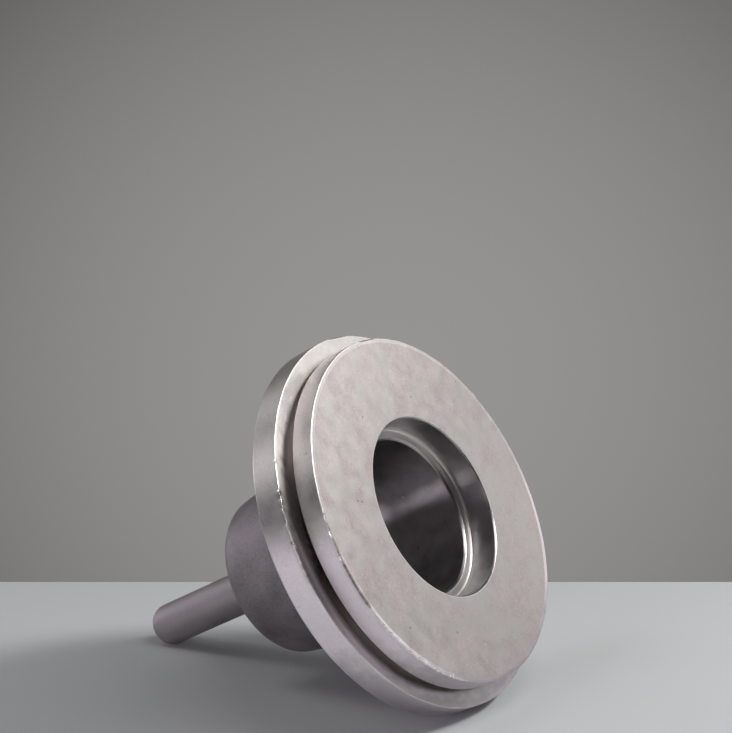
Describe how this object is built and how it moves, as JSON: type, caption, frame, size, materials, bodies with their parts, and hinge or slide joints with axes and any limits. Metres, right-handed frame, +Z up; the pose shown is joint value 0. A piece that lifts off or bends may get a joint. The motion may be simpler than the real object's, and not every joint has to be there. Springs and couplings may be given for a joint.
{
  "type": "piston rod forging",
  "caption": "Round forged flange with a turned collar and a groove behind it, a stepped blind bore in its face, a tapered hub behind and a plain rod on the hub's end.",
  "frame": {"origin": "the centre of the bounding box's bottom face, on the floor plane that the piece lies on", "axes": "+Z up. The piece lies as in the picture, on the flange's back edge and the rod's end, so its axis is in the XZ plane, 27.7 degrees from the floor; the front face looks along +X and up, and the rod points along -X and down. X is the longest extent and Z the shortest."},
  "size_m": [0.136, 0.12, 0.1102],
  "materials": {
    "forged_steel": "satin turned steel on the collar, flange and bore; duller shot-blasted skin on the hub and rod"
  },
  "bodies": {
    "root": {"piston_rod_forging": "forged_steel"}
  },
  "joints": []
}
